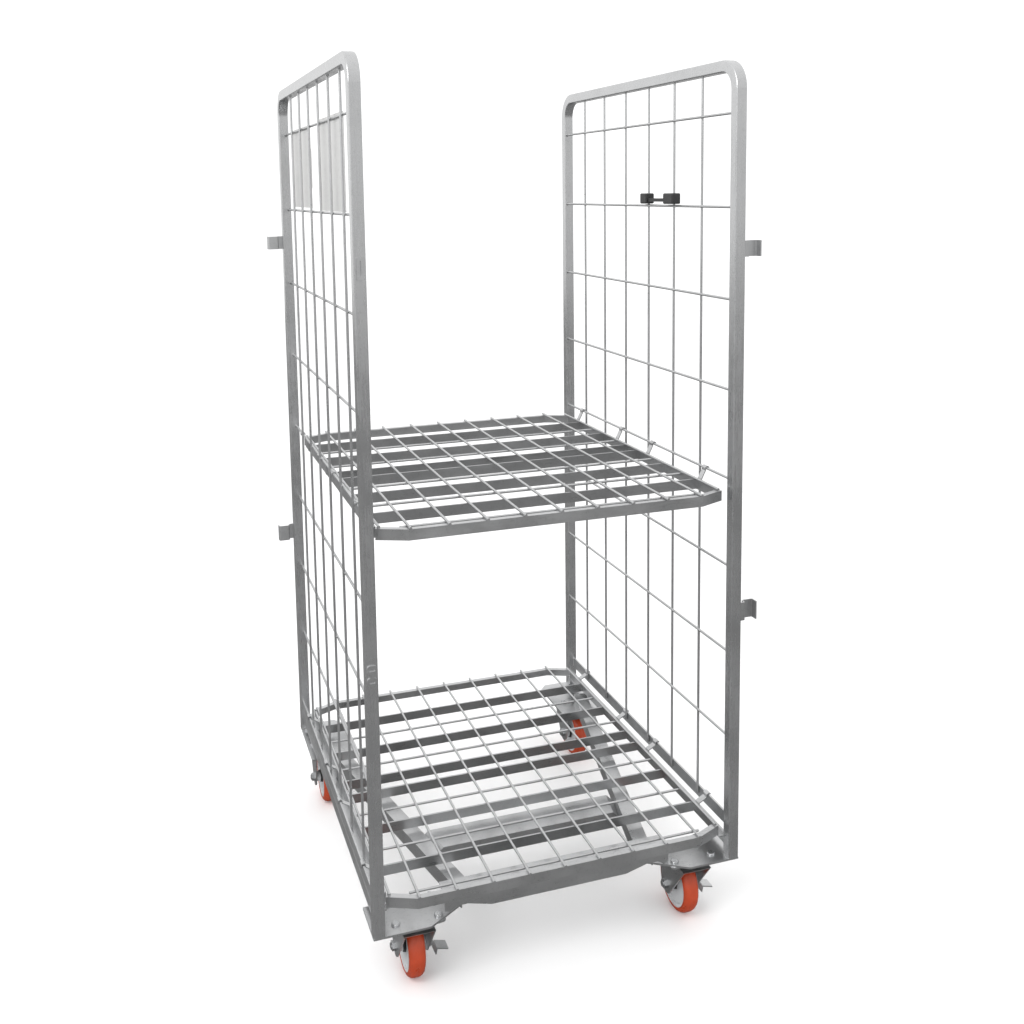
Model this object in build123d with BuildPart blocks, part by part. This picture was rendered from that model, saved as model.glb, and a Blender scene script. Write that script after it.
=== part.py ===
from build123d import *
import os

os.makedirs("parts", exist_ok=True)

# Roll cage container: two mesh side panels on a nesting A-base with four casters, a folding deck and a
# folding shelf. Millimetres, +Z up, +X right, -Y front, origin on the floor under the middle.

# ---- overall ----
HEIGHT = 1690
WIDTH = 735
DEPTH = 850

# ---- side panels ----
TUBE = 22
TUBE_WALL = 1.5
BEND_OUTER = 55
WIRE = 5
CROSSING = WIRE + 0.05  # centre distance of two wires that cross
ROW_TOP = 1592
ROW_PITCH = 172
ROW_COUNT = 8
UPRIGHT_PITCH = 116
UPRIGHT_COUNT = 6
UPRIGHT_SHIFT = 11   # towards the back on the right panel, towards the front on the left one
RAIL_THICK = 4
RAIL_LOW, RAIL_HIGH = 190, 216

# ---- chassis ----
PLATE_LOW = 137
PLATE_THICK = 4
PLATE_TOP = PLATE_LOW + PLATE_THICK
CHASSIS_TOP = 177.5
SHEET = 2.5
SIDE_RAIL_OUTER = WIDTH / 2 - 8
SIDE_RAIL_LOW = 150

# ---- deck and shelf ----
DECK_LOW = 178
SHELF_LOW = 861
BAR_HIGH = 20
BAR_THICK = 4
TRAY_Y = -8          # middle of the deck and of the shelf
TRAY_HALF_DEPTH = 414
TRAY_HALF_WIDTH = 338
CORNER_X = 284       # where the cut corner starts
CORNER_BACK = 24
FLANGE = 12
BAR_PLACES = (28.5, 157.5, 295)
LONG_PITCH = 70.3
LONG_OUTER_X = 331
LONG_OVERHANG = 4
CROSS_PLACES = (213.9, 81.2, -107, -239.6)
FRONT_WIRE_Y = -388.5
FRONT_WIRE_HALF = 294
CLIP_PLACES = (-311, -79, 79, 311)
CLIP_WIDE = 14
CLIP_THICK = 2

# ---- casters ----
WHEEL_R = 60
TREAD_WIDE = 32
RIM_R = 49
AXLE_R = 6
RUN = 0.05           # radial clearance of a shaft in its hole
FORK_HALF = 30
LEG_THICK = 3
LEG_TIP = 20
FRONT_CASTER_X, FRONT_CASTER_Y = 281, -368
REAR_CASTER_X, REAR_CASTER_Y = 323, 353
FRONT_TRAIL, REAR_TRAIL = -26, 38      # from the swivel axis to the axle, towards -Y
FRONT_CROWN, REAR_CROWN = (-50, 53), (-66, 24)
FRONT_HOLES, REAR_HOLES = (80, 60), (60, 80)
PLATE_BORDER = 25    # how much larger the caster's own plate is than its bolt pattern
BOLT_R = 4
LEVER_X = 37         # brake lever's pivot, out from the wheel's middle
LEVER_Z = 56
LEVER_PIN_R = 2
LUG_INNER, LUG_OUTER = 10.4, 13.3

# ---- worked out ----
POST_X = WIDTH / 2 - TUBE / 2
POST_Y = DEPTH / 2 - TUBE / 2
POST_INNER_Y = POST_Y - TUBE / 2
ROW_X = POST_X - CROSSING
ROW_HEIGHTS = [ROW_TOP - ROW_PITCH * k for k in range(ROW_COUNT)]
HINGE_ROW_Z = ROW_HEIGHTS[4]
UPRIGHT_PLACES = [UPRIGHT_SHIFT + (k - (UPRIGHT_COUNT - 1) / 2) * UPRIGHT_PITCH for k in range(UPRIGHT_COUNT)]
RAIL_X = POST_X + WIRE / 2 + RAIL_THICK / 2
SIDES = (("left", -1), ("right", 1))


def write(part, name):
    """Label a finished piece and write it to its own file."""
    part.label = name
    export_step(part, f"parts/{name}.step")


def write_pair(part, name):
    """The right panel's piece, and the same piece turned half round for the left panel."""
    write(part, f"right_{name}")
    write(part.rotate(Axis.Z, 180), f"left_{name}")


# ==== side panels: the right one is drawn, the left one is the same turned half round ====

with BuildPart() as panel_frame:
    with BuildLine(Plane.YZ.offset(POST_X)):
        FilletPolyline(
            (-POST_Y, PLATE_TOP),
            (-POST_Y, HEIGHT - TUBE / 2),
            (POST_Y, HEIGHT - TUBE / 2),
            (POST_Y, PLATE_TOP),
            radius=BEND_OUTER - TUBE / 2,
        )
    with BuildSketch(Plane((POST_X, -POST_Y, PLATE_TOP))):
        RectangleRounded(TUBE, TUBE, 2.5)
        Rectangle(TUBE - 2 * TUBE_WALL, TUBE - 2 * TUBE_WALL, mode=Mode.SUBTRACT)
    sweep()
write_pair(panel_frame.part, "panel_frame")

UPRIGHT_LOW = RAIL_LOW + 10
with BuildPart() as panel_mesh:
    with BuildSketch(Plane.XZ):
        with Locations([(ROW_X, z) for z in ROW_HEIGHTS]):
            Circle(WIRE / 2)
    extrude(amount=POST_INNER_Y, both=True)
    with BuildSketch(Plane.XY.offset(UPRIGHT_LOW)):
        with Locations([(POST_X, y) for y in UPRIGHT_PLACES]):
            Circle(WIRE / 2)
    extrude(amount=HEIGHT - TUBE - UPRIGHT_LOW)
write_pair(panel_mesh.part, "panel_mesh")

with BuildPart() as bottom_rail:
    with Locations((RAIL_X, 0, (RAIL_LOW + RAIL_HIGH) / 2)):
        Box(RAIL_THICK, 2 * POST_INNER_Y, RAIL_HIGH - RAIL_LOW)
    fillet(bottom_rail.edges().filter_by(Axis.Y), 1)
write_pair(bottom_rail.part, "bottom_rail")

# Latch brackets: a tab on the outer face of the front post that folds into an upright channel.
BRACKETS = ((1343, 30), (643, 36))  # middle height, tallness
BRACKET_THICK = 2.5
POST_OUTER_X = WIDTH / 2
with BuildPart() as latch_brackets:
    for middle, tall in BRACKETS:
        with BuildSketch(Plane.XY.offset(middle - tall / 2)):
            with BuildLine():
                FilletPolyline(
                    (POST_OUTER_X, -POST_Y - 6),
                    (POST_OUTER_X + 11, -POST_Y - 6),
                    (POST_OUTER_X + 13, -POST_Y + 6),
                    (POST_OUTER_X + 33, -POST_Y + 6),
                    (POST_OUTER_X + 33, -POST_Y - 8),
                    radius=2,
                )
                offset(amount=BRACKET_THICK, side=Side.LEFT)
            make_face()
        extrude(amount=tall)
write_pair(latch_brackets.part, "latch_brackets")

# Strap fittings on the back face of the rear post: a slotted strip above and a double eye below.
FITTING_PLANE = Plane.XZ.offset(-DEPTH / 2)
with BuildPart() as strap_fittings:
    with BuildSketch(FITTING_PLANE):
        with Locations((POST_X, 1333)):
            RectangleRounded(12, 38, 3)
            RectangleRounded(3, 26, 1.4, mode=Mode.SUBTRACT)
        for eye_z in (619, 641):
            with Locations((POST_X, eye_z)):
                SlotOverall(20, 15)
                SlotOverall(12, 6, mode=Mode.SUBTRACT)
        with Locations((POST_X, 630)):
            Rectangle(8, 12)
    extrude(amount=-3)
write_pair(strap_fittings.part, "strap_fittings")

# Plates on the left panel's mesh, between its two top rows, on the inner side of the row wires.
SIGN_THICK = 1.5
SIGN_X = -(ROW_X - WIRE / 2 - SIGN_THICK)
with BuildPart() as sign_plate:
    with BuildSketch(Plane.YZ.offset(SIGN_X)):
        with Locations((-153, 1511.5)):
            RectangleRounded(252, 177, 4)
    extrude(amount=-SIGN_THICK)
write(sign_plate.part, "sign_plate")

with BuildPart() as card_holder:
    with BuildSketch(Plane.YZ.offset(SIGN_X)):
        with Locations((205.5, 1512)):
            RectangleRounded(245, 170, 4)
    extrude(amount=-SIGN_THICK)
    for lip_y, inward in ((114, 1), (309, -1)):
        with BuildSketch(Plane.XY.offset(1468)):
            with Locations((SIGN_X + 3, lip_y)):
                Rectangle(6, SIGN_THICK)
            with Locations((SIGN_X + 6 - SIGN_THICK / 2, lip_y + inward * 6)):
                Rectangle(SIGN_THICK, 12 + SIGN_THICK)
        extrude(amount=81)
write(card_holder.part, "card_holder")

# Plastic strap clip on the right panel: two blocks clamped round the upright wires, joined by a thin bar.
CLIP_Z = 1435
STRAP_Y = (UPRIGHT_PLACES[1], UPRIGHT_PLACES[2])
with BuildPart() as strap_clip:
    for y, wide in ((STRAP_Y[0] - 2, 42), (STRAP_Y[1] - 5, 30)):
        with Locations((POST_X - 7, y, CLIP_Z)):
            Box(20, wide, 22)
    fillet(strap_clip.edges(), 3)
    with Locations((POST_X - 10, sum(STRAP_Y) / 2, CLIP_Z - 3)):
        Box(6, STRAP_Y[1] - STRAP_Y[0] - 20, 7)
    with BuildSketch(Plane.XY.offset(CLIP_Z - 20)):
        with Locations([(POST_X, y) for y in STRAP_Y]):
            Circle(WIRE / 2)
    extrude(amount=40, mode=Mode.SUBTRACT)
write(strap_clip.part, "strap_clip")

# ==== chassis ====

for side_name, side in SIDES:
    with BuildPart() as side_rail:
        with BuildSketch(Plane.XZ):
            with BuildLine():
                FilletPolyline(
                    (side * SIDE_RAIL_OUTER, SIDE_RAIL_LOW),
                    (side * SIDE_RAIL_OUTER, CHASSIS_TOP),
                    (side * (SIDE_RAIL_OUTER - TUBE), CHASSIS_TOP),
                    radius=3,
                )
                offset(amount=SHEET, side=Side.LEFT if side > 0 else Side.RIGHT)
            make_face()
        extrude(amount=POST_INNER_Y, both=True)
    write(side_rail.part, f"{side_name}_side_rail")

# Splayed members run from the front corner plates back and out to the rear ones.
MEMBER_WIDE = 31
MEMBER_TOP = 170
SPLAY = 0.218
MEMBER_FRONT_Y, MEMBER_REAR_Y = -390, 290
MEMBER_FRONT_X = 181
for side_name, side in SIDES:
    run = Vector(side * SPLAY * (MEMBER_REAR_Y - MEMBER_FRONT_Y), MEMBER_REAR_Y - MEMBER_FRONT_Y, 0)
    with BuildPart() as member:
        start = Vector(side * MEMBER_FRONT_X, MEMBER_FRONT_Y, PLATE_TOP)
        with BuildSketch(Plane(start, z_dir=run, x_dir=(0, 0, 1))):
            with Locations(((MEMBER_TOP - PLATE_TOP) / 2, 0)):
                Rectangle(MEMBER_TOP - PLATE_TOP, MEMBER_WIDE)
            with Locations(((MEMBER_TOP - PLATE_TOP) / 2 - SHEET, 0)):
                Rectangle(MEMBER_TOP - PLATE_TOP, MEMBER_WIDE - 2 * SHEET, mode=Mode.SUBTRACT)
        extrude(amount=run.length)
    write(member.part, f"{side_name}_splayed_member")

# Front cross-member: a channel whose front web is scooped up at both ends.
WEB_Y = -397
with BuildPart() as front_cross_member:
    with BuildSketch(Plane.XZ.offset(-WEB_Y)):
        with BuildLine():
            right_edge = Polyline((0, 138), (137, 138), (184, 150), (205, 149), (219, PLATE_TOP),
                                  (228, PLATE_TOP), (228, CHASSIS_TOP), (0, CHASSIS_TOP))
            mirror(right_edge, about=Plane.YZ)
        make_face()
    extrude(amount=-3)
    with Locations((0, WEB_Y + 20, CHASSIS_TOP - SHEET / 2)):
        Box(456, 40, SHEET)
    with Locations((0, WEB_Y + 15, 138 + SHEET / 2)):
        Box(274, 30, SHEET)
write(front_cross_member.part, "front_cross_member")

# Cross channel between the splayed members, open below, its ends sloped down to them.
CHANNEL_TOP = 165
CHANNEL_FRONT_Y, CHANNEL_REAR_Y = -234, -167
with BuildPart() as cross_channel:
    with BuildSketch(Plane.XY.offset(PLATE_TOP)):
        Polygon((-199, CHANNEL_FRONT_Y), (199, CHANNEL_FRONT_Y), (213, CHANNEL_REAR_Y),
                (-213, CHANNEL_REAR_Y), align=None)
    extrude(amount=CHANNEL_TOP - PLATE_TOP)
    ends = cross_channel.faces().filter_by(Axis.Z).sort_by(Axis.Z)[-1].edges().sort_by(Axis.X)
    chamfer([ends[0], ends[-1]], 15)
    with Locations((0, (CHANNEL_FRONT_Y + CHANNEL_REAR_Y) / 2, PLATE_TOP + 10)):
        Box(364, CHANNEL_REAR_Y - CHANNEL_FRONT_Y - 2 * SHEET, 2 * (CHANNEL_TOP - PLATE_TOP - SHEET - 10) + 1,
            mode=Mode.SUBTRACT)
write(cross_channel.part, "cross_channel")

# Corner plates under the posts, with the casters' bolt holes.
FRONT_OUTLINE = ((367.5, -425), (262, -425), (183, -375), (183, -335), (190, -330), (367.5, -330))
REAR_OUTLINE = ((367.5, 425), (284, 425), (268, 405), (268, 255), (284, 243), (367.5, 243))
CORNERS = (
    ("front", FRONT_OUTLINE, (FRONT_CASTER_X, FRONT_CASTER_Y), FRONT_HOLES),
    ("rear", REAR_OUTLINE, (REAR_CASTER_X, REAR_CASTER_Y), REAR_HOLES),
)
for end_name, outline, (caster_x, caster_y), holes in CORNERS:
    for side_name, side in SIDES:
        with BuildPart() as corner_plate:
            with BuildSketch(Plane.XY.offset(PLATE_LOW)):
                Polygon(*[(side * x, y) for x, y in outline], align=None)
                with Locations((side * caster_x, caster_y)):
                    with GridLocations(*holes, 2, 2):
                        Circle(BOLT_R + 0.3, mode=Mode.SUBTRACT)
            extrude(amount=PLATE_THICK)
        write(corner_plate.part, f"{end_name}_{side_name}_corner_plate")

# Caster bolts with domed heads above the corner plates, and their nuts below the casters' own plates.
CASTER_PLATE = 3.5
CASTER_PLATE_LOW = PLATE_LOW - CASTER_PLATE
NUT_HIGH = 5
with BuildPart() as caster_bolts:
    for _, _, (caster_x, caster_y), holes in CORNERS:
        for side in (-1, 1):
            with Locations((side * caster_x, caster_y, PLATE_TOP)):
                with GridLocations(*holes, 2, 2):
                    Cylinder(8, 4, align=(Align.CENTER, Align.CENTER, Align.MIN))
                    Cylinder(BOLT_R, PLATE_TOP - CASTER_PLATE_LOW + NUT_HIGH + 0.5,
                             align=(Align.CENTER, Align.CENTER, Align.MAX))
    fillet(caster_bolts.faces().filter_by(Axis.Z).group_by(Axis.Z)[-1].edges(), 2)
write(caster_bolts.part, "caster_bolts")

with BuildPart() as caster_nuts:
    with BuildSketch(Plane.XY.offset(CASTER_PLATE_LOW)):
        for _, _, (caster_x, caster_y), holes in CORNERS:
            for side in (-1, 1):
                with Locations((side * caster_x, caster_y)):
                    with GridLocations(*holes, 2, 2):
                        RegularPolygon(7.5, 6)
                        Circle(BOLT_R + RUN, mode=Mode.SUBTRACT)
    extrude(amount=-NUT_HIGH)
write(caster_nuts.part, "caster_nuts")

# ==== casters ====


def make_wheel(name, x, y):
    """A hub with its rim, and the tread round it, both turned about the axle."""
    turn = Axis((x, y, WHEEL_R), (1, 0, 0))
    with BuildPart() as rim:
        with BuildSketch(Plane.XZ.offset(-y)):
            with BuildLine():
                half = Polyline((x, WHEEL_R + AXLE_R + RUN), (x + 26.5, WHEEL_R + AXLE_R + RUN),
                                (x + 26.5, WHEEL_R + 10.5), (x + 12, WHEEL_R + 14), (x + 12, WHEEL_R + 41),
                                (x + 15, WHEEL_R + 43), (x + 15, WHEEL_R + RIM_R), (x, WHEEL_R + RIM_R))
                mirror(half, about=Plane.YZ.offset(x))
            make_face()
        revolve(axis=turn)
    write(rim.part, f"{name}_rim")
    with BuildPart() as tread:
        with BuildSketch(Plane.XZ.offset(-y)):
            with BuildLine():
                left, right, foot = x - TREAD_WIDE / 2, x + TREAD_WIDE / 2, WHEEL_R + RIM_R
                side_line = Line((left, foot), (left, foot + 3))
                crown = ThreePointArc(side_line @ 1, (x, 2 * WHEEL_R), (right, foot + 3))
                Polyline(crown @ 1, (right, foot), side_line @ 0)
            make_face()
        revolve(axis=turn)
    write(tread.part, f"{name}_tread")
    with BuildPart() as axle:
        with BuildSketch(Plane.YZ.offset(x - FORK_HALF - 9)):
            with Locations((y, WHEEL_R)):
                Circle(AXLE_R)
        extrude(amount=2 * FORK_HALF + 9)
        with BuildSketch(Plane.YZ.offset(x + FORK_HALF)):
            with Locations((y, WHEEL_R)):
                RegularPolygon(9, 6)
        extrude(amount=2)
        with BuildSketch(Plane.YZ.offset(x - FORK_HALF)):
            with Locations((y, WHEEL_R)):
                RegularPolygon(9.5, 6)
        extrude(amount=-7)
    write(axle.part, f"{name}_axle")


CROWN_LOW = 122.5
CROWN_TOP = CROWN_LOW + 3.5
DOME_TOP = 128.2
RACE_LOW = 128.5
KING_R = 6
KING_LOW = 119.1
for corner, trail, crown in ((CORNERS[0], FRONT_TRAIL, FRONT_CROWN), (CORNERS[1], REAR_TRAIL, REAR_CROWN)):
    end_name, _, (caster_x, y), _ = corner
    axle_y = y - trail
    for side_name, side in SIDES:
        name = f"{end_name}_{side_name}"
        x = side * caster_x
        make_wheel(name, x, axle_y)
        with BuildPart() as fork:
            with BuildSketch(Plane.YZ.offset(x)):
                with BuildLine():
                    Line((y + crown[0], CROWN_TOP), (y + crown[1], CROWN_TOP))
                    CenterArc((axle_y, WHEEL_R), LEG_TIP, 0, 360)
                make_hull()
                with Locations((axle_y, WHEEL_R)):
                    Circle(AXLE_R + RUN, mode=Mode.SUBTRACT)
            extrude(amount=FORK_HALF, both=True)
            with Locations((x, axle_y, CROWN_LOW)):
                Box(2 * (FORK_HALF - LEG_THICK), 200, 140, align=(Align.CENTER, Align.CENTER, Align.MAX),
                    mode=Mode.SUBTRACT)
            with BuildSketch(Plane.XY.offset(CROWN_TOP)):
                with Locations((x, y)):
                    Circle(27)
            extrude(amount=DOME_TOP - CROWN_TOP)
            with BuildSketch(Plane.XY.offset(CROWN_LOW)):
                with Locations((x, y)):
                    Circle(KING_R + RUN)
            extrude(amount=DOME_TOP - CROWN_LOW, mode=Mode.SUBTRACT)
            if end_name == "front":  # two lugs that carry the brake lever's pin
                with BuildSketch(Plane.XZ.offset(-axle_y)):
                    with BuildLine():
                        Line((x + FORK_HALF, LEVER_Z - 6), (x + FORK_HALF, LEVER_Z + 6))
                        CenterArc((x + LEVER_X, LEVER_Z), 4, 0, 360)
                    make_hull()
                    with Locations((x + LEVER_X, LEVER_Z)):
                        Circle(LEVER_PIN_R + RUN, mode=Mode.SUBTRACT)
                extrude(amount=LUG_OUTER, both=True)
                with Locations((x + FORK_HALF, axle_y, LEVER_Z)):
                    Box(20, 2 * LUG_INNER, 30, align=(Align.MIN, Align.CENTER, Align.CENTER),
                        mode=Mode.SUBTRACT)
        write(fork.part, f"{name}_fork")

# Each caster's own plate with the upper ball race under it.
with BuildPart() as caster_top_plates:
    for _, _, (caster_x, y), holes in CORNERS:
        for side in (-1, 1):
            with BuildSketch(Plane.XY.offset(CASTER_PLATE_LOW)):
                with Locations((side * caster_x, y)):
                    RectangleRounded(holes[0] + PLATE_BORDER, holes[1] + PLATE_BORDER, 8)
                    with GridLocations(*holes, 2, 2):
                        Circle(BOLT_R + 0.3, mode=Mode.SUBTRACT)
            extrude(amount=CASTER_PLATE)
            with BuildSketch(Plane.XY.offset(RACE_LOW)):
                with Locations((side * caster_x, y)):
                    Circle(30)
            extrude(amount=CASTER_PLATE_LOW - RACE_LOW)
            with BuildSketch(Plane.XY.offset(RACE_LOW)):
                with Locations((side * caster_x, y)):
                    Circle(KING_R)
            extrude(amount=PLATE_LOW - RACE_LOW, mode=Mode.SUBTRACT)
write(caster_top_plates.part, "caster_top_plates")

with BuildPart() as kingpins:
    for _, _, (caster_x, y), _ in CORNERS:
        for side in (-1, 1):
            with Locations((side * caster_x, y, PLATE_LOW)):
                Cylinder(KING_R, PLATE_LOW - KING_LOW, align=(Align.CENTER, Align.CENTER, Align.MAX))
            with Locations((side * caster_x, y, KING_LOW)):
                Cylinder(9, CROWN_LOW - 0.4 - KING_LOW, align=(Align.CENTER, Align.CENTER, Align.MIN))
write(kingpins.part, "kingpins")

# Brake levers of the front casters, each on a pin through its fork's lugs.
LEVER_Y = FRONT_CASTER_Y - FRONT_TRAIL
for side_name, side in SIDES:
    x = side * FRONT_CASTER_X
    with BuildPart() as brake_lever:
        with BuildSketch(Plane.XZ.offset(-LEVER_Y)):
            with Locations((x + LEVER_X, LEVER_Z)):
                Circle(4)
        extrude(amount=LUG_INNER - 0.4, both=True)
        with BuildSketch(Plane.XZ.offset(-LEVER_Y)):
            with BuildLine():
                Line((x + LEVER_X + 1, LEVER_Z), (x + 50, 42.5))
                offset(amount=3, side=Side.RIGHT)
            make_face()
        extrude(amount=5, both=True)
        with BuildSketch(Plane.XZ.offset(-LEVER_Y)):
            with BuildLine():
                FilletPolyline((x + 44, 31), (x + 47, 44), (x + 70, 38), radius=2)
                offset(amount=2.5, side=Side.RIGHT)
            make_face()
        extrude(amount=12, both=True)
        with BuildSketch(Plane.XZ.offset(-LEVER_Y)):
            with Locations((x + LEVER_X, LEVER_Z)):
                Circle(LEVER_PIN_R + RUN)
        extrude(amount=18, both=True, mode=Mode.SUBTRACT)
    write(brake_lever.part, f"front_{side_name}_brake_lever")
    with BuildPart() as lever_pin:
        with BuildSketch(Plane.XZ.offset(-LEVER_Y)):
            with Locations((x + LEVER_X, LEVER_Z)):
                Circle(LEVER_PIN_R)
        extrude(amount=LUG_OUTER + 1, both=True)
    write(lever_pin.part, f"front_{side_name}_lever_pin")

# ==== deck and shelf: the same welded tray, with clips to suit what each hangs on ====

TRAY_FRONT_Y, TRAY_REAR_Y = TRAY_Y - TRAY_HALF_DEPTH, TRAY_Y + TRAY_HALF_DEPTH


def clip_line(side, low, ring_x, ring_z, ring_r, sweep_angle, tail):
    """A clip's line in the XZ plane: up the side bar, out to the ring, over its top and down by the tail."""
    start = ring_x - side * ring_r
    bar_x = side * (TRAY_HALF_WIDTH + CLIP_THICK / 2)
    rise = Polyline((bar_x, low + 2), (bar_x, low + BAR_HIGH + 2), (start, ring_z - 4), (start, ring_z))
    arc = CenterArc((ring_x, ring_z), ring_r, 180 if side > 0 else 0, -side * sweep_angle)
    if tail:
        Line(arc @ 1, (arc @ 1) - Vector(0, tail))
    return rise


def make_tray(name, low, right_clip, left_clip):
    """Folded end angles, side bars, cross bars, mesh wires and clips of one tray."""
    top = low + BAR_HIGH
    with BuildPart() as end_angles:
        for depth, bottom in ((3, low), (FLANGE, top - 3)):
            with BuildSketch(Plane.XY.offset(bottom)):
                for y, back in ((TRAY_FRONT_Y, 1), (TRAY_REAR_Y, -1)):
                    with BuildLine():
                        Polyline((-TRAY_HALF_WIDTH, y + back * CORNER_BACK), (-CORNER_X, y), (CORNER_X, y),
                                 (TRAY_HALF_WIDTH, y + back * CORNER_BACK))
                        offset(amount=depth, side=Side.LEFT if back > 0 else Side.RIGHT)
                    make_face()
            extrude(amount=top - bottom)
    write(end_angles.part, f"{name}_end_angles")

    side_length = 2 * (TRAY_HALF_DEPTH - CORNER_BACK) - 28
    with BuildPart() as side_bars:
        for side in (-1, 1):
            with Locations((side * (TRAY_HALF_WIDTH - BAR_THICK / 2), TRAY_Y, low + BAR_HIGH / 2)):
                Box(BAR_THICK, side_length, BAR_HIGH)
    write(side_bars.part, f"{name}_side_bars")

    inner_half = TRAY_HALF_WIDTH - BAR_THICK
    with BuildPart() as cross_bars:
        for place in BAR_PLACES:
            with Locations((0, TRAY_Y - place, low + BAR_HIGH / 2), (0, TRAY_Y + place, low + BAR_HIGH / 2)):
                Box(2 * inner_half, BAR_THICK, BAR_HIGH)
    write(cross_bars.part, f"{name}_cross_bars")

    with BuildPart() as mesh:
        with BuildSketch(Plane.XZ.offset(-TRAY_Y)):
            with Locations([(k * LONG_PITCH, top + WIRE / 2) for k in range(-4, 5)]):
                Circle(WIRE / 2)
        extrude(amount=TRAY_HALF_DEPTH + LONG_OVERHANG, both=True)
        with BuildSketch(Plane.XZ.offset(-TRAY_Y)):
            with Locations((-LONG_OUTER_X, top + WIRE / 2), (LONG_OUTER_X, top + WIRE / 2)):
                Circle(WIRE / 2)
        extrude(amount=TRAY_HALF_DEPTH - CORNER_BACK, both=True)
        with BuildSketch(Plane.YZ):
            with Locations([(TRAY_Y + place, top + WIRE / 2 - CROSSING) for place in CROSS_PLACES]):
                Circle(WIRE / 2)
        extrude(amount=inner_half, both=True)
        with BuildSketch(Plane.YZ):
            with Locations((TRAY_Y + FRONT_WIRE_Y, top + WIRE / 2 - CROSSING)):
                Circle(WIRE / 2)
        extrude(amount=FRONT_WIRE_HALF, both=True)
    write(mesh.part, f"{name}_mesh")

    for clip_name, side, shape in (("hinge_clips", 1, right_clip), ("drop_hooks", -1, left_clip)):
        with BuildPart() as clips:
            for y in CLIP_PLACES:
                with BuildSketch(Plane.XZ.offset(-y)):
                    with BuildLine() as line:
                        clip_line(side, low, *shape)
                    trace(line.line, line_width=CLIP_THICK)
                extrude(amount=CLIP_WIDE / 2, both=True)
        write(clips.part, f"{name}_{clip_name}")


make_tray("shelf", SHELF_LOW, (ROW_X, HINGE_ROW_Z, 3.9, 235, 0), (-ROW_X, HINGE_ROW_Z, 3.9, 180, 2))
make_tray("deck", DECK_LOW, (RAIL_X, RAIL_HIGH - 2.5, 4.5, 155, 0), (-RAIL_X, RAIL_HIGH - 1, 3.7, 180, 5))
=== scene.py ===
import math

import bmesh
import bpy
from mathutils import Matrix, Vector


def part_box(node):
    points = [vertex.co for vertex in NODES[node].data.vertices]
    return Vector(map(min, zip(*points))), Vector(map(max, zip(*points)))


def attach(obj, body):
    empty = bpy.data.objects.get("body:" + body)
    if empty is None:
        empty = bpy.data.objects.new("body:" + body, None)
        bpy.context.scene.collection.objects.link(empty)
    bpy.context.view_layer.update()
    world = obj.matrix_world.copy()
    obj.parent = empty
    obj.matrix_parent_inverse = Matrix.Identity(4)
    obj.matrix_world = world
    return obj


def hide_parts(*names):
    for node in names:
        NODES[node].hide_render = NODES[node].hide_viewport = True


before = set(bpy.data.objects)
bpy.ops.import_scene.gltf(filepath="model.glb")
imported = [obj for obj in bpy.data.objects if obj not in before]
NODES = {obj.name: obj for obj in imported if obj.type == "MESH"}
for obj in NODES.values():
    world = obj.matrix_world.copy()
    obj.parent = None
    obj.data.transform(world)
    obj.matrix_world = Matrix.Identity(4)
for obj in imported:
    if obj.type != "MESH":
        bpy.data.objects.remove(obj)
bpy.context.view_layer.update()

MM = 0.001


# ---------------------------------------------------------------- materials

def shader_nodes(name):
    """A new material with its node tree, its Principled shader and a helper that adds and links nodes."""
    material = bpy.data.materials.new(name)
    material.use_nodes = True
    tree = material.node_tree
    principled = tree.nodes["Principled BSDF"]

    def add(kind, inputs=(), **settings):
        node = tree.nodes.new(kind)
        for key, value in settings.items():
            setattr(node, key, value)
        for key, value in dict(inputs).items():
            if isinstance(value, bpy.types.NodeSocket):
                tree.links.new(value, node.inputs[key])
            else:
                node.inputs[key].default_value = value
        return node

    return material, tree, principled, add


def ramp(add, factor, stops):
    """A colour ramp with the given (place, grey or colour) stops."""
    node = add("ShaderNodeValToRGB", {"Fac": factor})
    elements = node.color_ramp.elements
    while len(elements) < len(stops):
        elements.new(0.5)
    for element, (place, value) in zip(elements, stops):
        element.position = place
        element.color = (value, value, value, 1) if isinstance(value, float) else (*value, 1)
    return node.outputs["Color"]


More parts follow.
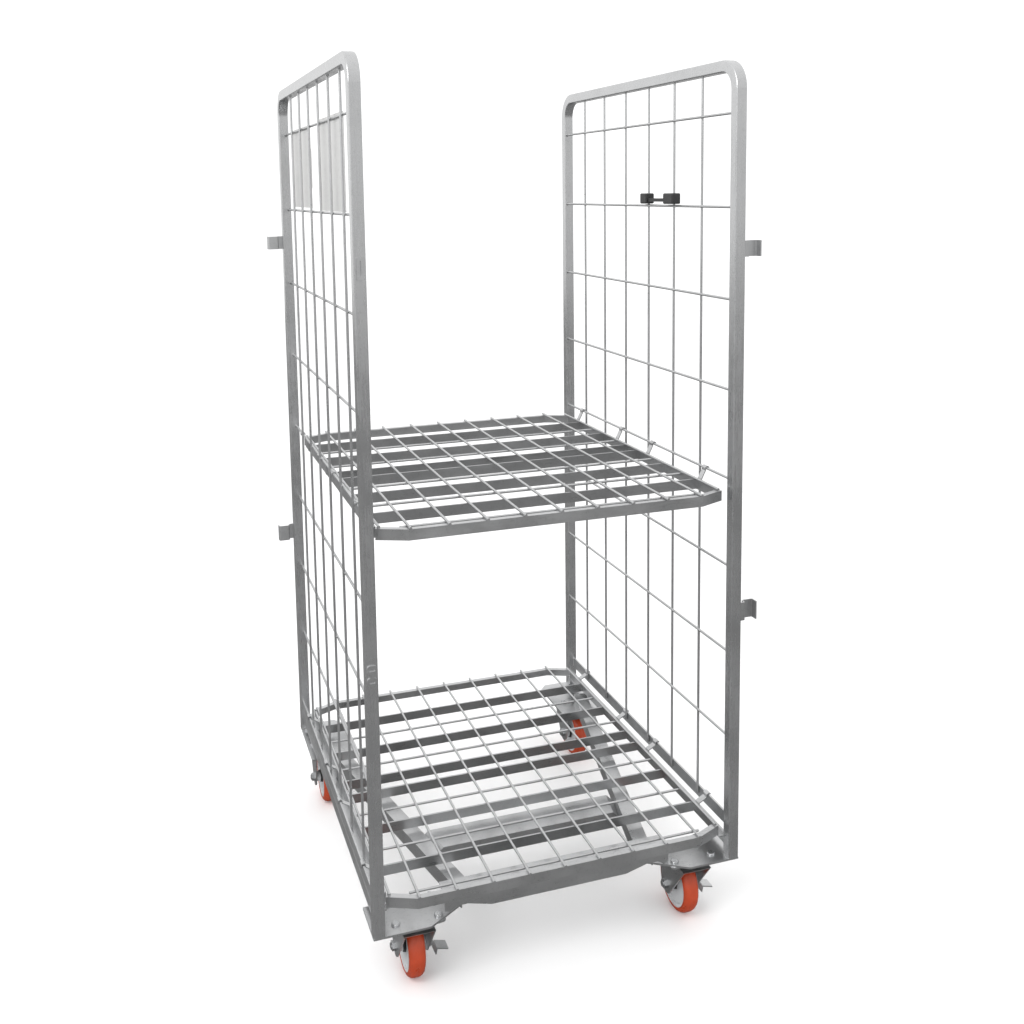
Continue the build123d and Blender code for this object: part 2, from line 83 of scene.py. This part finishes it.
def zinc(name, colour, rough, grain=(1, 1, 1), cloud=0.06, spangle=0.0):
    """Bright zinc plating: soft cloudy tone, drawn grain along one axis, fine flecks and small pits."""
    material, tree, shader, add = shader_nodes(name)
    place = add("ShaderNodeTexCoord").outputs["Object"]
    stretched = add("ShaderNodeMapping", {"Vector": place, "Scale": grain}).outputs["Vector"]
    clouds = add("ShaderNodeTexNoise", {"Vector": place, "Scale": 9.0, "Detail": 5.0, "Roughness": 0.55})
    lines = add("ShaderNodeTexNoise", {"Vector": stretched, "Scale": 420.0, "Detail": 3.0, "Roughness": 0.6})
    spots = add("ShaderNodeTexNoise", {"Vector": place, "Scale": 160.0, "Detail": 4.0, "Roughness": 0.7})
    light = tuple(min(1.0, c * (1 + cloud)) for c in colour)
    dark = tuple(c * (1 - cloud) for c in colour)
    tone = ramp(add, clouds.outputs["Fac"], ((0.3, dark), (0.7, light)))
    fleck = ramp(add, spots.outputs["Fac"], ((0.28, 0.80 - spangle), (0.46, 1.0)))
    mixed = add("ShaderNodeMix", {0: 0.55, 6: tone, 7: fleck}, data_type="RGBA", blend_type="MULTIPLY")
    tree.links.new(mixed.outputs[2], shader.inputs["Base Color"])
    uneven = add("ShaderNodeMath", {0: clouds.outputs["Fac"], 1: lines.outputs["Fac"]}, operation="MULTIPLY")
    spread = add("ShaderNodeMapRange", {"Value": uneven.outputs["Value"], "From Min": 0.12, "From Max": 0.40,
                                        "To Min": rough - 0.07, "To Max": rough + 0.10})
    tree.links.new(spread.outputs["Result"], shader.inputs["Roughness"])
    bump = add("ShaderNodeBump", {"Height": lines.outputs["Fac"], "Strength": 0.10, "Distance": 0.0004})
    pits = add("ShaderNodeBump", {"Height": spots.outputs["Fac"], "Strength": 0.10, "Distance": 0.0005,
                                  "Normal": bump.outputs["Normal"]})
    tree.links.new(pits.outputs["Normal"], shader.inputs["Normal"])
    shader.inputs["Metallic"].default_value = 1.0
    return material


def plastic(name, colour, rough, speckle, bump_depth, grain_scale):
    """Moulded plastic: even colour with a faint speckle, a fine moulded grain and uneven gloss."""
    material, tree, shader, add = shader_nodes(name)
    place = add("ShaderNodeTexCoord").outputs["Object"]
    clouds = add("ShaderNodeTexNoise", {"Vector": place, "Scale": 24.0, "Detail": 4.0})
    grain = add("ShaderNodeTexNoise", {"Vector": place, "Scale": grain_scale, "Detail": 3.0})
    dark = tuple(c * (1 - speckle) for c in colour)
    light = tuple(min(1.0, c * (1 + speckle)) for c in colour)
    tone = ramp(add, clouds.outputs["Fac"], ((0.32, dark), (0.68, light)))
    tree.links.new(tone, shader.inputs["Base Color"])
    spread = add("ShaderNodeMapRange", {"Value": clouds.outputs["Fac"], "From Min": 0.3, "From Max": 0.7,
                                        "To Min": rough - 0.06, "To Max": rough + 0.08})
    tree.links.new(spread.outputs["Result"], shader.inputs["Roughness"])
    bump = add("ShaderNodeBump", {"Height": grain.outputs["Fac"], "Strength": 0.18, "Distance": bump_depth})
    tree.links.new(bump.outputs["Normal"], shader.inputs["Normal"])
    return material


TUBE = zinc("zinc_tube", (0.64, 0.645, 0.65), 0.27, grain=(1, 1, 0.05), cloud=0.08)
WIRE = zinc("zinc_wire", (0.62, 0.625, 0.63), 0.32, cloud=0.06)
SHEET = zinc("zinc_sheet", (0.62, 0.625, 0.63), 0.33, grain=(0.08, 1, 1), cloud=0.12, spangle=0.05)
BAR = zinc("zinc_bar", (0.52, 0.525, 0.53), 0.33, grain=(0.05, 1, 1), cloud=0.10)
PLATE = zinc("zinc_plate", (0.84, 0.84, 0.83), 0.44, cloud=0.03)
FASTENER = zinc("zinc_fastener", (0.60, 0.61, 0.62), 0.28, cloud=0.08)
WELD = zinc("weld_bead", (0.42, 0.42, 0.42), 0.45, cloud=0.16, spangle=0.15)
RIM = plastic("rim_polyamide", (0.50, 0.51, 0.52), 0.42, 0.04, 0.0003, 900.0)
TREAD = plastic("tread_polyurethane", (0.40, 0.045, 0.010), 0.32, 0.16, 0.0002, 500.0)
BLACK = plastic("black_plastic", (0.022, 0.022, 0.023), 0.46, 0.25, 0.0004, 700.0)


def cad_material(node):
    """The material of a CAD node, from what the node is."""
    if node.endswith("_tread"):
        return TREAD
    if node.endswith("_rim"):
        return RIM
    if node == "strap_clip":
        return BLACK
    if node.endswith("_mesh"):
        return WIRE
    if node.endswith("panel_frame"):
        return TUBE
    if node in ("sign_plate", "card_holder"):
        return PLATE
    if node in ("caster_bolts", "caster_nuts", "kingpins") or node.endswith(("_axle", "_lever_pin")):
        return FASTENER
    if node.endswith("cross_bars"):
        return BAR
    return SHEET


for node_name, obj in NODES.items():
    obj.data.materials.clear()
    obj.data.materials.append(cad_material(node_name))


# ---------------------------------------------------------------- pieces

def add_piece(name, mesh_builder, material, body, smooth=True):
    """Make one object from a bmesh and let it ride on a body."""
    mesh = bpy.data.meshes.new(name)
    mesh_builder.to_mesh(mesh)
    mesh_builder.free()
    piece = bpy.data.objects.new(name, mesh)
    bpy.context.scene.collection.objects.link(piece)
    mesh.materials.append(material)
    for polygon in mesh.polygons:
        polygon.use_smooth = smooth
    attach(piece, body)
    return piece


def lathe(profile, centre, steps=72):
    """A closed profile of (x, radius) points turned about the X axis through centre."""
    builder = bmesh.new()
    rings = []
    for k in range(steps):
        angle = 2 * math.pi * k / steps
        y, z = math.cos(angle), math.sin(angle)
        rings.append([builder.verts.new((centre[0] + x, centre[1] + r * y, centre[2] + r * z))
                      for x, r in profile])
    count = len(profile)
    for k in range(steps):
        here, there = rings[k], rings[(k + 1) % steps]
        for i in range(count):
            builder.faces.new((here[i], here[(i + 1) % count], there[(i + 1) % count], there[i]))
    bmesh.ops.recalc_face_normals(builder, faces=builder.faces)
    return builder


def add_blob(builder, centre, radii, seed):
    """A weld blob: a small uneven ellipsoid."""
    start = len(builder.verts)
    bmesh.ops.create_icosphere(builder, subdivisions=2, radius=1.0)
    builder.verts.ensure_lookup_table()
    for vertex in builder.verts[start:]:
        d = vertex.co.normalized()
        wobble = (1 + 0.10 * math.sin(5 * d.x + seed) + 0.08 * math.sin(7 * d.y + 2 * seed)
                  + 0.07 * math.sin(6 * d.z - seed))
        vertex.co = Vector(centre) + Vector((d.x * radii[0], d.y * radii[1], d.z * radii[2])) * wobble


def wheel_centre(wheel):
    """The middle of a wheel, from the box of its rim."""
    low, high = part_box(f"{wheel}_rim")
    return (low + high) / 2


# ---- wheels ----
WHEELS = ("front_left", "front_right", "rear_left", "rear_right")
WHEEL_R = 60 * MM
RIM_R = 49 * MM
TREAD_HALF = 16 * MM
TREAD_ROOT = RIM_R - 0.5 * MM      # the tread's inner face, sunk a little into the rim
TREAD_SHOULDER = RIM_R + 2 * MM    # where its flat side turns into the crown
CROWN_STEPS = 16
GROOVE_DEPTH = 0.5 * MM
GROOVE_WIDTH = 0.05                # as a part of the tread's half width
HUB_FACE = 12.2 * MM               # the seals start here, out from the middle of the wheel
SEAL_LIP = 17 * MM


def tread_profile():
    """A rounded tyre of polyurethane with a thin moulding groove round its middle, as (x, radius) points."""
    profile = [(-TREAD_HALF, TREAD_ROOT), (-TREAD_HALF, TREAD_SHOULDER)]
    for k in range(1, CROWN_STEPS):
        across = -1 + 2 * k / CROWN_STEPS
        crown = (1 - abs(across) ** 2.6) ** 0.62
        groove = GROOVE_DEPTH * math.exp(-(across / GROOVE_WIDTH) ** 2)
        profile.append((across * TREAD_HALF, TREAD_SHOULDER + (WHEEL_R - TREAD_SHOULDER) * crown - groove))
    return profile + [(TREAD_HALF, TREAD_SHOULDER), (TREAD_HALF, TREAD_ROOT)]


def seal_profile(side):
    """A black bearing seal on one side of the hub, with a rounded outer lip, as (x, radius) points."""
    return [(side * HUB_FACE, 9 * MM), (side * SEAL_LIP, 12.2 * MM), (side * (SEAL_LIP + 0.6 * MM), 13 * MM),
            (side * SEAL_LIP, 14 * MM), (side * HUB_FACE, 15.5 * MM)]


for wheel in WHEELS:
    centre = wheel_centre(wheel)
    tread = add_piece(f"{wheel}_tyre", lathe(tread_profile(), centre, 96), TREAD, f"{wheel}_wheel")
    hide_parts(f"{wheel}_tread")
    for side, word in ((-1, "outer"), (1, "inner")):
        seal = lathe(seal_profile(side), centre, 48)
        add_piece(f"{wheel}_{word}_seal", seal, BLACK, f"{wheel}_wheel")


# ---- weld beads: sizes in millimetres, as in the CAD ----
ROW_TOP, ROW_PITCH, ROW_COUNT = 1592, 172, 8
ROW_X = 351.45                     # middle of the row wires
RAIL_INNER_X = 359                 # inner face of the bottom rail
RAIL_BEAD_LOW = 193
POST_INNER_Y = 403                 # inner faces of the posts
FOOT_BEAD_X = 346                  # the first bead at a post's foot
BEADS_ACROSS = 6                   # beads in the run along a rail's end or a post's foot
BEAD_STEP = 4
PLATE_TOP = 141                    # top of the corner plates
MEMBER_FRONT_X, MEMBER_FRONT_Y = 181, -390
MEMBER_HALF = 15.5
SPLAY = 0.218                      # how far a splayed member runs out for each millimetre back
SEAM_COUNT, SEAM_START, SEAM_STEP = 5, 16, 9
ROW_BEAD = (3.4, 2.6, 3.8)
RAIL_BEAD = (2.2, 2.2, 2.8)
SEAM_BEAD = (2.4, 4.6, 2.0)
FOOT_BEAD = (2.6, 2.0, 1.8)


def bead(builder, centre, radii, seed):
    """One weld bead, given in millimetres."""
    add_blob(builder, [c * MM for c in centre], [r * MM for r in radii], seed)


# on the panels: at each end of the row wires and of the bottom rail
for side, word in ((-1, "left"), (1, "right")):
    beads = bmesh.new()
    for k in range(ROW_COUNT):
        for end in (-1, 1):
            bead(beads, (side * ROW_X, end * POST_INNER_Y, ROW_TOP - ROW_PITCH * k), ROW_BEAD, 3 * k + end)
    for end in (-1, 1):
        for k in range(BEADS_ACROSS):
            bead(beads, (side * RAIL_INNER_X, end * POST_INNER_Y, RAIL_BEAD_LOW + BEAD_STEP * k), RAIL_BEAD,
                 5 * k + end)
    add_piece(f"{word}_panel_beads", beads, WELD, "base")

# on the corner plates: along the splayed members and at the feet of the posts
chassis_beads = bmesh.new()
for side in (-1, 1):
    for k in range(SEAM_COUNT):
        # the beads close up a little towards the member as the seam goes back
        across = MEMBER_FRONT_X + SPLAY * (k * 5 + SEAM_START) + MEMBER_HALF
        bead(chassis_beads, (side * across, MEMBER_FRONT_Y + SEAM_START + SEAM_STEP * k, PLATE_TOP + 0.5),
             SEAM_BEAD, k * 2.3 + side)
    for k in range(BEADS_ACROSS):
        for end, seed in ((-1, k + side), (1, k - side)):
            bead(chassis_beads, (side * (FOOT_BEAD_X + BEAD_STEP * k), end * POST_INNER_Y, PLATE_TOP + 0.4),
                 FOOT_BEAD, seed)
add_piece("chassis_beads", chassis_beads, WELD, "base")


# ---------------------------------------------------------------- stage, light and camera

def aim(obj, position, yaw, pitch, roll):
    """Place an object at position, looking at yaw from +Y towards +X, at pitch and roll, all in degrees."""
    y, p, r = (math.radians(a) for a in (yaw, pitch, roll))
    forward = Vector((math.sin(y) * math.cos(p), math.cos(y) * math.cos(p), math.sin(p)))
    right = Vector((math.cos(y), -math.sin(y), 0))
    up = right.cross(forward)
    rolled_right = right * math.cos(r) + up * math.sin(r)
    rolled_up = -right * math.sin(r) + up * math.cos(r)
    turn = Matrix((rolled_right, rolled_up, -forward)).transposed()
    obj.matrix_world = Matrix.Translation(position) @ turn.to_4x4()


CAMERA_PLACE = (-0.7261, -2.2360, 1.4588)
CAMERA_YAW, CAMERA_PITCH, CAMERA_ROLL = 18.2, -7.0, -0.9

camera_data = bpy.data.cameras.new("camera")
camera = bpy.data.objects.new("camera", camera_data)
bpy.context.scene.collection.objects.link(camera)
camera_data.sensor_width = 36
camera_data.lens = 39.2
camera_data.shift_x = 0.0206
camera_data.shift_y = -0.181
aim(camera, CAMERA_PLACE, CAMERA_YAW, CAMERA_PITCH, CAMERA_ROLL)
bpy.context.scene.camera = camera

# The floor is pale. To glossy rays it is darker, which paints shade into the metal's reflections, so that
# the metal keeps its contrast.
FLOOR_HALF = 12.0
FLOOR_TONE = (0.95, 0.95, 0.95, 1)
FLOOR_PAINTED_SHADE_IN_REFLECTIONS = (0.17, 0.17, 0.17, 1)
floor_mesh = bpy.data.meshes.new("floor")
floor_corners = [(x * FLOOR_HALF, y * FLOOR_HALF, 0) for x, y in ((-1, -1), (1, -1), (1, 1), (-1, 1))]
floor_mesh.from_pydata(floor_corners, [], [(0, 1, 2, 3)])
floor = bpy.data.objects.new("floor", floor_mesh)
bpy.context.scene.collection.objects.link(floor)
floor_material, floor_tree, floor_shader, floor_add = shader_nodes("pale_floor")
floor_shader.inputs["Roughness"].default_value = 0.9
seen_by = floor_add("ShaderNodeLightPath")
# Painted shade: glossy rays get the dark floor colour, and all other rays get the pale one.
floor_tone = floor_add("ShaderNodeMix", {0: seen_by.outputs["Is Glossy Ray"], 6: FLOOR_TONE,
                                         7: FLOOR_PAINTED_SHADE_IN_REFLECTIONS}, data_type="RGBA")
floor_tree.links.new(floor_tone.outputs[2], floor_shader.inputs["Base Color"])
floor_mesh.materials.append(floor_material)

# The surroundings are white. Metal sees them a little greyer, and brighter on one side and above.
WORLD_STRENGTH = 1.25
BRIGHT_SIDE = (-0.35, 0.55, 0.75)
world = bpy.data.worlds.new("studio")
bpy.context.scene.world = world
world.use_nodes = True
world_tree = world.node_tree
background = world_tree.nodes["Background"]
direction = world_tree.nodes.new("ShaderNodeTexCoord")
towards_light = world_tree.nodes.new("ShaderNodeVectorMath")
towards_light.operation = "DOT_PRODUCT"
towards_light.inputs[1].default_value = BRIGHT_SIDE
side_tone = world_tree.nodes.new("ShaderNodeMapRange")
ray = world_tree.nodes.new("ShaderNodeLightPath")
choose = world_tree.nodes.new("ShaderNodeMix")
choose.data_type = "RGBA"
world_tree.links.new(direction.outputs["Generated"], towards_light.inputs[0])
world_tree.links.new(towards_light.outputs["Value"], side_tone.inputs["Value"])
for key, value in (("From Min", -0.6), ("From Max", 0.6), ("To Min", 0.60), ("To Max", 0.78)):
    side_tone.inputs[key].default_value = value
world_tree.links.new(ray.outputs["Is Glossy Ray"], choose.inputs[0])
choose.inputs[6].default_value = (1, 1, 1, 1)
world_tree.links.new(side_tone.outputs["Result"], choose.inputs[7])
world_tree.links.new(choose.outputs[2], background.inputs["Color"])
background.inputs["Strength"].default_value = WORLD_STRENGTH
bpy.context.scene.view_settings.view_transform = "Standard"


def soft_light(name, position, target, size, power):
    """A square area light of the given size and power, turned to face the target."""
    data = bpy.data.lights.new(name, "AREA")
    data.shape = "SQUARE"
    data.size = size
    data.energy = power
    lamp = bpy.data.objects.new(name, data)
    bpy.context.scene.collection.objects.link(lamp)
    lamp.location = position
    lamp.rotation_euler = (Vector(target) - Vector(position)).to_track_quat("-Z", "Y").to_euler()


soft_light("key", position=(-2.6, -2.0, 3.4), target=(0, 0, 0.8), size=2.0, power=60)
